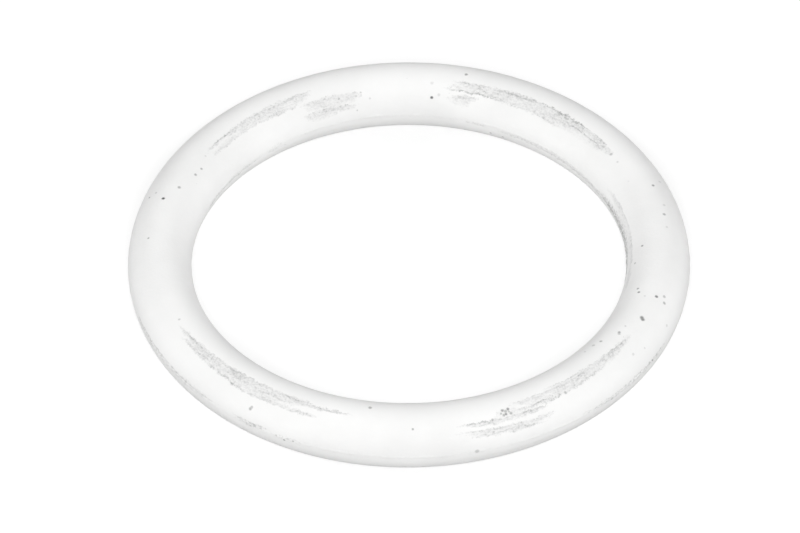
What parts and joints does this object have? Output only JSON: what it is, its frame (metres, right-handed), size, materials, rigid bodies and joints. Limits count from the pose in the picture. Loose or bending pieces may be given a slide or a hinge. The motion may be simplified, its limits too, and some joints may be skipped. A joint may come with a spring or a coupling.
{
  "type": "coupling gasket",
  "caption": "Round-section moulded rubber ring that seals a pipe coupling, with a fine trimmed mould line along its inner and outer edges.",
  "frame": {"origin": "centre of the ring, in the mould's parting plane", "axes": "+Z along the ring's axis; the ring is the same all round, so +X and +Y are any two directions across it"},
  "size_m": [0.1334, 0.1334, 0.015],
  "materials": {
    "ring_rubber": "near-white moulded rubber, matt, with fine grain and faint scuffs"
  },
  "bodies": {
    "root": {"gasket_ring": "ring_rubber"}
  },
  "joints": []
}
